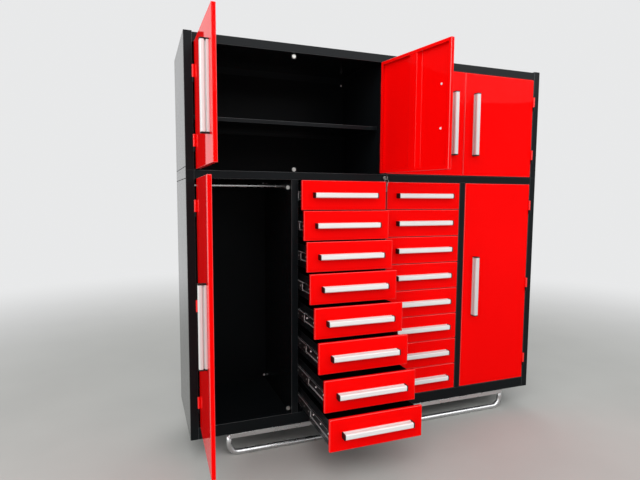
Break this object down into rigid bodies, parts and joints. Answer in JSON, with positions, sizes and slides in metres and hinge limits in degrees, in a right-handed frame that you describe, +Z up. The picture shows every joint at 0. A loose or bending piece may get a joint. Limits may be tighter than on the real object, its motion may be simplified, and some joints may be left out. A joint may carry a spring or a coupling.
{
  "type": "workshop cabinet",
  "caption": "Floor-standing workshop cabinet on chrome skids, with red doors and drawers in a black carcass: lockers at both ends, drawer columns between them and shelved cupboards above.",
  "frame": {"origin": "on the floor under the middle of the carcass's width and depth", "axes": "+X along the width to the viewer's right, +Y from the front to the wall, +Z up"},
  "size_m": [2, 1.0131, 1.9897],
  "materials": {
    "carcass_black": "satin black powder coat",
    "door_red": "glossy red paint",
    "handle_aluminium": "satin anodised aluminium",
    "slide_steel": "zinc-plated steel",
    "chrome": "bright chrome plating",
    "lock_steel": "nickel-plated brass and steel"
  },
  "bodies": {
    "carcass": {"lower_side_panels": "carcass_black", "upper_side_panels": "carcass_black", "base_pan": "carcass_black", "lower_top_pan": "carcass_black", "upper_floor_pan": "carcass_black", "upper_top_pan": "carcass_black", "back_panels": "carcass_black", "divider_walls": "carcass_black", "shelves": "carcass_black", "hanging_rods": "chrome", "slide_rails": "slide_steel", "magnetic_catches": "slide_steel", "skid_base": "chrome", "hinge_pins": "carcass_black", "lock_barrel": "lock_steel"},
    "upper_door_1": {"upper_door_1": "door_red", "upper_door_handle_1": "handle_aluminium"},
    "upper_door_2": {"upper_door_2": "door_red", "upper_door_handle_2": "handle_aluminium"},
    "upper_door_3": {"upper_door_3": "door_red", "upper_door_handle_3": "handle_aluminium"},
    "upper_door_4": {"upper_door_4": "door_red", "upper_door_handle_4": "handle_aluminium"},
    "locker_door_left": {"locker_door_left": "door_red", "locker_door_handle_left": "handle_aluminium"},
    "locker_door_right": {"locker_door_right": "door_red", "locker_door_handle_right": "handle_aluminium"},
    "drawer_left_1": {"drawer_left_1": "door_red"},
    "slide_left_1": {"slide_left_1": "slide_steel"},
    "drawer_left_2": {"drawer_left_2": "door_red"},
    "slide_left_2": {"slide_left_2": "slide_steel"},
    "drawer_left_3": {"drawer_left_3": "door_red"},
    "slide_left_3": {"slide_left_3": "slide_steel"},
    "drawer_left_4": {"drawer_left_4": "door_red"},
    "slide_left_4": {"slide_left_4": "slide_steel"},
    "drawer_left_5": {"drawer_left_5": "door_red"},
    "slide_left_5": {"slide_left_5": "slide_steel"},
    "drawer_left_6": {"drawer_left_6": "door_red"},
    "slide_left_6": {"slide_left_6": "slide_steel"},
    "drawer_left_7": {"drawer_left_7": "door_red"},
    "slide_left_7": {"slide_left_7": "slide_steel"},
    "drawer_left_8": {"drawer_left_8": "door_red"},
    "slide_left_8": {"slide_left_8": "slide_steel"},
    "drawer_right_1": {"drawer_right_1": "door_red"},
    "slide_right_1": {"slide_right_1": "slide_steel"},
    "drawer_right_2": {"drawer_right_2": "door_red"},
    "slide_right_2": {"slide_right_2": "slide_steel"},
    "drawer_right_3": {"drawer_right_3": "door_red"},
    "slide_right_3": {"slide_right_3": "slide_steel"},
    "drawer_right_4": {"drawer_right_4": "door_red"},
    "slide_right_4": {"slide_right_4": "slide_steel"},
    "drawer_right_5": {"drawer_right_5": "door_red"},
    "slide_right_5": {"slide_right_5": "slide_steel"},
    "drawer_right_6": {"drawer_right_6": "door_red"},
    "slide_right_6": {"slide_right_6": "slide_steel"},
    "drawer_right_7": {"drawer_right_7": "door_red"},
    "slide_right_7": {"slide_right_7": "slide_steel"},
    "drawer_right_8": {"drawer_right_8": "door_red"},
    "slide_right_8": {"slide_right_8": "slide_steel"},
    "lock_key": {"lock_key": "lock_steel"}
  },
  "joints": [
    {"name": "upper_door_1_swing", "type": "hinge", "parent": "carcass", "child": "upper_door_1", "pos_m": [-0.9605, -0.2733, 1], "axis": [0, 0, -1], "range_deg": [-89, 71]},
    {"name": "upper_door_2_swing", "type": "hinge", "parent": "carcass", "child": "upper_door_2", "pos_m": [-0.0125, -0.2733, 1], "axis": [0, 0, 1], "range_deg": [-101, 59]},
    {"name": "upper_door_3_swing", "type": "hinge", "parent": "carcass", "child": "upper_door_3", "pos_m": [0.0125, -0.2733, 1], "axis": [0, 0, 1], "range_deg": [-70, 0]},
    {"name": "upper_door_4_swing", "type": "hinge", "parent": "carcass", "child": "upper_door_4", "pos_m": [0.9605, -0.2733, 1], "axis": [0, 0, 1], "range_deg": [0, 160]},
    {"name": "locker_door_left_swing", "type": "hinge", "parent": "carcass", "child": "locker_door_left", "pos_m": [-0.9605, -0.2733, 1], "axis": [0, 0, -1], "range_deg": [-91.5, 68.5]},
    {"name": "locker_door_right_swing", "type": "hinge", "parent": "carcass", "child": "locker_door_right", "pos_m": [0.9605, -0.2733, 1], "axis": [0, 0, 1], "range_deg": [0, 160]},
    {"name": "drawer_left_1_pull", "type": "slide", "parent": "carcass", "child": "drawer_left_1", "axis": [0, -1, 0], "range_m": [-0.04884, 0.39116]},
    {"name": "slide_left_1_run", "type": "slide", "parent": "carcass", "child": "slide_left_1", "axis": [0, -1, 0], "range_m": [-0.02442, 0.19558]},
    {"name": "drawer_left_2_pull", "type": "slide", "parent": "carcass", "child": "drawer_left_2", "axis": [0, -1, 0], "range_m": [-0.08096, 0.35904]},
    {"name": "slide_left_2_run", "type": "slide", "parent": "carcass", "child": "slide_left_2", "axis": [0, -1, 0], "range_m": [-0.04048, 0.17952]},
    {"name": "drawer_left_3_pull", "type": "slide", "parent": "carcass", "child": "drawer_left_3", "axis": [0, -1, 0], "range_m": [-0.12452, 0.31548]},
    {"name": "slide_left_3_run", "type": "slide", "parent": "carcass", "child": "slide_left_3", "axis": [0, -1, 0], "range_m": [-0.06226, 0.15774]},
    {"name": "drawer_left_4_pull", "type": "slide", "parent": "carcass", "child": "drawer_left_4", "axis": [0, -1, 0], "range_m": [-0.1716, 0.2684]},
    {"name": "slide_left_4_run", "type": "slide", "parent": "carcass", "child": "slide_left_4", "axis": [0, -1, 0], "range_m": [-0.0858, 0.1342]},
    {"name": "drawer_left_5_pull", "type": "slide", "parent": "carcass", "child": "drawer_left_5", "axis": [0, -1, 0], "range_m": [-0.2354, 0.2046]},
    {"name": "slide_left_5_run", "type": "slide", "parent": "carcass", "child": "slide_left_5", "axis": [0, -1, 0], "range_m": [-0.1177, 0.1023]},
    {"name": "drawer_left_6_pull", "type": "slide", "parent": "carcass", "child": "drawer_left_6", "axis": [0, -1, 0], "range_m": [-0.29128, 0.14872]},
    {"name": "slide_left_6_run", "type": "slide", "parent": "carcass", "child": "slide_left_6", "axis": [0, -1, 0], "range_m": [-0.14564, 0.07436]},
    {"name": "drawer_left_7_pull", "type": "slide", "parent": "carcass", "child": "drawer_left_7", "axis": [0, -1, 0], "range_m": [-0.363, 0.077]},
    {"name": "slide_left_7_run", "type": "slide", "parent": "carcass", "child": "slide_left_7", "axis": [0, -1, 0], "range_m": [-0.1815, 0.0385]},
    {"name": "drawer_left_8_pull", "type": "slide", "parent": "carcass", "child": "drawer_left_8", "axis": [0, -1, 0], "range_m": [-0.42636, 0.01364]},
    {"name": "slide_left_8_run", "type": "slide", "parent": "carcass", "child": "slide_left_8", "axis": [0, -1, 0], "range_m": [-0.21318, 0.00682]},
    {"name": "drawer_right_1_pull", "type": "slide", "parent": "carcass", "child": "drawer_right_1", "axis": [0, -1, 0], "range_m": [0, 0.44]},
    {"name": "slide_right_1_run", "type": "slide", "parent": "carcass", "child": "slide_right_1", "axis": [0, -1, 0], "range_m": [0, 0.22]},
    {"name": "drawer_right_2_pull", "type": "slide", "parent": "carcass", "child": "drawer_right_2", "axis": [0, -1, 0], "range_m": [0, 0.44]},
    {"name": "slide_right_2_run", "type": "slide", "parent": "carcass", "child": "slide_right_2", "axis": [0, -1, 0], "range_m": [0, 0.22]},
    {"name": "drawer_right_3_pull", "type": "slide", "parent": "carcass", "child": "drawer_right_3", "axis": [0, -1, 0], "range_m": [0, 0.44]},
    {"name": "slide_right_3_run", "type": "slide", "parent": "carcass", "child": "slide_right_3", "axis": [0, -1, 0], "range_m": [0, 0.22]},
    {"name": "drawer_right_4_pull", "type": "slide", "parent": "carcass", "child": "drawer_right_4", "axis": [0, -1, 0], "range_m": [0, 0.44]},
    {"name": "slide_right_4_run", "type": "slide", "parent": "carcass", "child": "slide_right_4", "axis": [0, -1, 0], "range_m": [0, 0.22]},
    {"name": "drawer_right_5_pull", "type": "slide", "parent": "carcass", "child": "drawer_right_5", "axis": [0, -1, 0], "range_m": [0, 0.44]},
    {"name": "slide_right_5_run", "type": "slide", "parent": "carcass", "child": "slide_right_5", "axis": [0, -1, 0], "range_m": [0, 0.22]},
    {"name": "drawer_right_6_pull", "type": "slide", "parent": "carcass", "child": "drawer_right_6", "axis": [0, -1, 0], "range_m": [0, 0.44]},
    {"name": "slide_right_6_run", "type": "slide", "parent": "carcass", "child": "slide_right_6", "axis": [0, -1, 0], "range_m": [0, 0.22]},
    {"name": "drawer_right_7_pull", "type": "slide", "parent": "carcass", "child": "drawer_right_7", "axis": [0, -1, 0], "range_m": [0, 0.44]},
    {"name": "slide_right_7_run", "type": "slide", "parent": "carcass", "child": "slide_right_7", "axis": [0, -1, 0], "range_m": [0, 0.22]},
    {"name": "drawer_right_8_pull", "type": "slide", "parent": "carcass", "child": "drawer_right_8", "axis": [0, -1, 0], "range_m": [0, 0.44]},
    {"name": "slide_right_8_run", "type": "slide", "parent": "carcass", "child": "slide_right_8", "axis": [0, -1, 0], "range_m": [0, 0.22]},
    {"name": "lock_turn", "type": "hinge", "parent": "carcass", "child": "lock_key", "pos_m": [0, -0.2675, 1.36475], "axis": [0, -1, 0], "range_deg": [0, 90]}
  ],
  "couplings": [
    {"joint": "slide_left_1_run", "follows": "drawer_left_1_pull", "ratio": 0.5},
    {"joint": "slide_left_2_run", "follows": "drawer_left_2_pull", "ratio": 0.5},
    {"joint": "slide_left_3_run", "follows": "drawer_left_3_pull", "ratio": 0.5},
    {"joint": "slide_left_4_run", "follows": "drawer_left_4_pull", "ratio": 0.5},
    {"joint": "slide_left_5_run", "follows": "drawer_left_5_pull", "ratio": 0.5},
    {"joint": "slide_left_6_run", "follows": "drawer_left_6_pull", "ratio": 0.5},
    {"joint": "slide_left_7_run", "follows": "drawer_left_7_pull", "ratio": 0.5},
    {"joint": "slide_left_8_run", "follows": "drawer_left_8_pull", "ratio": 0.5},
    {"joint": "slide_right_1_run", "follows": "drawer_right_1_pull", "ratio": 0.5},
    {"joint": "slide_right_2_run", "follows": "drawer_right_2_pull", "ratio": 0.5},
    {"joint": "slide_right_3_run", "follows": "drawer_right_3_pull", "ratio": 0.5},
    {"joint": "slide_right_4_run", "follows": "drawer_right_4_pull", "ratio": 0.5},
    {"joint": "slide_right_5_run", "follows": "drawer_right_5_pull", "ratio": 0.5},
    {"joint": "slide_right_6_run", "follows": "drawer_right_6_pull", "ratio": 0.5},
    {"joint": "slide_right_7_run", "follows": "drawer_right_7_pull", "ratio": 0.5},
    {"joint": "slide_right_8_run", "follows": "drawer_right_8_pull", "ratio": 0.5}
  ]
}
